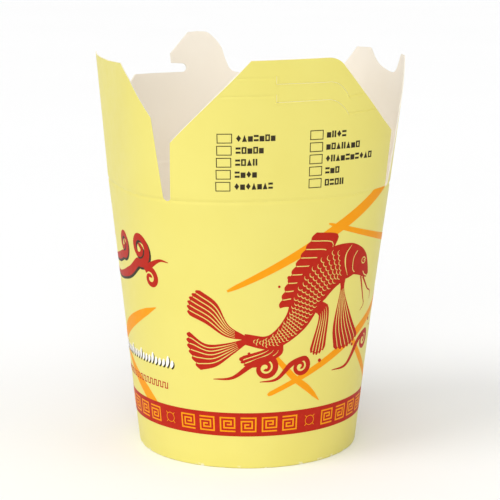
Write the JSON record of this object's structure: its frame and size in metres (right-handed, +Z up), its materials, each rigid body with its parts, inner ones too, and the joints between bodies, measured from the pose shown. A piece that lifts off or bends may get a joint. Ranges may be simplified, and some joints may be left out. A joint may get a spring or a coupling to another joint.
{
  "type": "noodle takeaway box",
  "caption": "Open paperboard takeaway cup, round at the foot, with four folding top flaps, a hook and slits that close them.",
  "frame": {"origin": "centre of the foot, on the plane the box stands on", "axes": "+Z up the cup's axis, out of its mouth; -Y towards the front flap, the one with the hook slits"},
  "size_m": [0.1121, 0.1113, 0.1588],
  "materials": {
    "printed_board": "satin",
    "bare_board": "matt"
  },
  "bodies": {
    "cup": {"wall": "printed_board", "base": "bare_board"},
    "front_flap": {"front_flap": "printed_board"},
    "right_flap": {"right_flap": "printed_board"},
    "back_flap": {"back_flap": "printed_board"},
    "left_flap": {"left_flap": "printed_board"}
  },
  "joints": [
    {"name": "left_flap_fold", "type": "hinge", "parent": "cup", "child": "left_flap", "pos_m": [-0.04415, 0, 0.105], "axis": [0, 1, 0], "range_deg": [0, 90]},
    {"name": "right_flap_fold", "type": "hinge", "parent": "cup", "child": "right_flap", "pos_m": [0.04415, 0, 0.105], "axis": [0, -1, 0], "range_deg": [0, 80]},
    {"name": "back_flap_fold", "type": "hinge", "parent": "cup", "child": "back_flap", "pos_m": [0, 0.038, 0.105], "axis": [1, 0, 0], "range_deg": [0, 55]},
    {"name": "front_flap_fold", "type": "hinge", "parent": "cup", "child": "front_flap", "pos_m": [0, -0.038, 0.105], "axis": [-1, 0, 0], "range_deg": [0, 55]}
  ]
}
